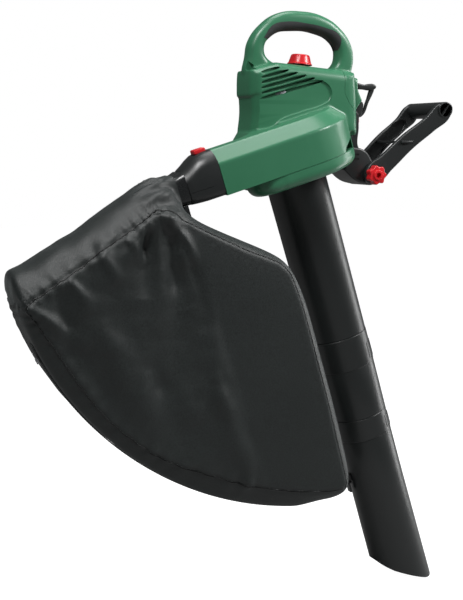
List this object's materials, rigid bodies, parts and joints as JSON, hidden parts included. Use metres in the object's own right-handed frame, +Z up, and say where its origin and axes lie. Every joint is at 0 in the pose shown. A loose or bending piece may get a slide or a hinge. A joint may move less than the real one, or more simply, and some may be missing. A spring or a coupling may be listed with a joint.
{
  "type": "leaf vacuum mulcher",
  "caption": "Hand-held electric leaf vacuum and mulcher with a loop handle, a swinging second handle, a long suction tube and a cloth collecting bag.",
  "frame": {"origin": "centre of the main handle's grip bar", "axes": "+Z up with the machine held level, +X forward towards the second handle, +Y to the user's left; the fan's scroll, the duct and the bag lie on -Y"},
  "size_m": [0.7759, 0.2438, 0.9908],
  "materials": {
    "green_shell": "satin moulded, mid green",
    "black_plastic": "fine-grained, semi-gloss black",
    "red_plastic": "satin red",
    "soft_black_grip": "soft matt black",
    "bag_cloth": "woven black polyester with a slight sheen",
    "steel": "turned and zinc-plated steel",
    "laminations": "dull grey laminations and castings",
    "copper": "enamelled copper",
    "carbon": "dull carbon"
  },
  "bodies": {
    "root": {"bag": "bag_cloth", "bag_hook": "black_plastic", "bag_neck_ring": "black_plastic", "carbon_brush_left": "carbon", "carbon_brush_right": "carbon", "cord_hook": "black_plastic", "front_bracket": "black_plastic", "front_cover": "green_shell", "housing_left": "green_shell", "housing_right": "green_shell", "housing_screw_1": "steel", "housing_screw_2": "steel", "housing_screw_3": "steel", "housing_screw_4": "steel", "interlock_switch": "black_plastic", "latch_spring": "steel", "lower_bearing": "steel", "lower_field_coil": "copper", "mains_filter": "black_plastic", "middle_tube": "black_plastic", "motor_plate": "laminations", "nozzle_tube": "black_plastic", "outlet_connector": "black_plastic", "release_spring": "steel", "scroll_lower": "green_shell", "scroll_upper": "green_shell", "soft_grip": "soft_black_grip", "speed_control": "black_plastic", "stator": "laminations", "upper_bearing": "steel", "upper_field_coil": "copper", "upper_tube": "black_plastic", "zip_tape": "bag_cloth"},
    "rotor": {"motor_shaft": "steel", "armature": "laminations", "commutator": "copper", "impeller": "laminations", "shredder_blade": "steel", "fan_nut": "steel"},
    "speed_dial": {"speed_dial": "red_plastic", "dial_shaft": "steel"},
    "tube_latch": {"tube_latch": "red_plastic"},
    "second_handle": {"second_handle": "black_plastic", "clamp_nut": "steel"},
    "clamp_knob": {"clamp_knob": "red_plastic", "clamp_bolt": "steel"},
    "release_button": {"release_button": "red_plastic"},
    "zip_slider": {"zip_slider": "black_plastic"}
  },
  "joints": [
    {"name": "rotor_spin", "type": "hinge", "parent": "root", "child": "rotor", "pos_m": [-0.013, 0, -0.22], "axis": [-0.2924, 0, 0.9563], "continuous": true},
    {"name": "speed_dial_turn", "type": "hinge", "parent": "root", "child": "speed_dial", "pos_m": [0.0052, 0, -0.0715], "axis": [0.0872, 0, 0.9962], "range_deg": [0, 270]},
    {"name": "tube_latch_push", "type": "slide", "parent": "root", "child": "tube_latch", "axis": [-1, 0, 0], "range_m": [0, 0.0015], "stiffness_N_per_m": 300, "springref_m": -0.003, "deforming": ["latch_spring"]},
    {"name": "second_handle_swing", "type": "hinge", "parent": "root", "child": "second_handle", "pos_m": [0.124, 0, -0.253], "axis": [0, 1, 0], "range_deg": [-20, 45]},
    {"name": "clamp_knob_turn", "type": "hinge", "parent": "second_handle", "child": "clamp_knob", "pos_m": [0.124, 0, -0.253], "axis": [0, 1, 0], "range_deg": [0, 180]},
    {"name": "release_button_push", "type": "slide", "parent": "root", "child": "release_button", "axis": [0.2924, 0, -0.9563], "range_m": [0, 0.003], "stiffness_N_per_m": 300, "springref_m": -0.003, "deforming": ["release_spring"]},
    {"name": "zip_slider_run", "type": "hinge", "parent": "root", "child": "zip_slider", "pos_m": [-0.005, -0.1, -0.264], "axis": [0, -1, 0], "range_deg": [0, 50]}
  ]
}
